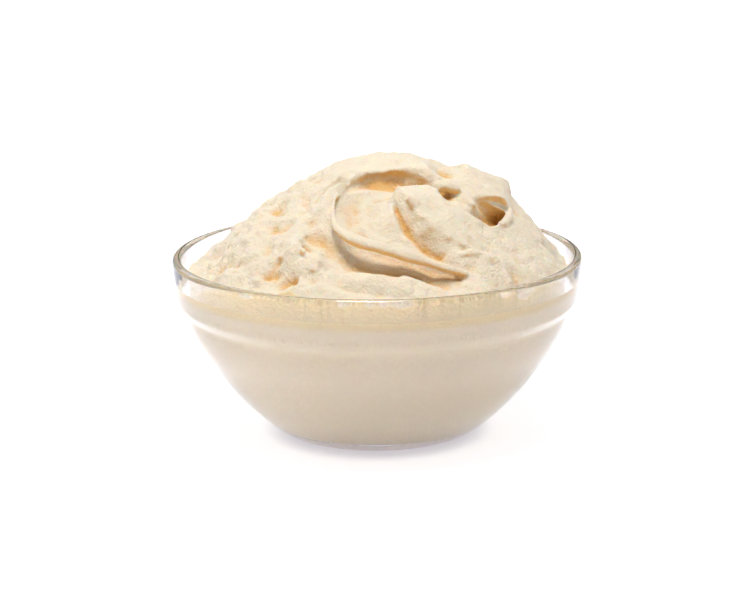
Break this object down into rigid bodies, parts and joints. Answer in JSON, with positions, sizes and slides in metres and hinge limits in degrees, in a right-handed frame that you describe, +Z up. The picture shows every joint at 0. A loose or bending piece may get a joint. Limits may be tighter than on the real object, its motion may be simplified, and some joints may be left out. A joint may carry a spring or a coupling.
{
  "type": "bowl of hummus",
  "caption": "Creamy chickpea dip heaped in spooned swirls in a round clear glass stacking bowl with a stepped collar.",
  "frame": {"origin": "middle of the bowl's flat foot, where it stands on the table", "axes": "+Z up along the bowl's axis; -Y is the side that faces the viewer, where the spoon's long strokes end; +X to that viewer's right"},
  "size_m": [0.14, 0.14, 0.0954],
  "materials": {
    "clear_glass": "smooth clear pressed soda-lime glass, fire-polished rim",
    "hummus_paste": "pale cream, moist, slightly grainy paste, smooth where the spoon has passed and rough where it tore"
  },
  "bodies": {
    "root": {"bowl": "clear_glass", "hummus": "hummus_paste"}
  },
  "joints": []
}
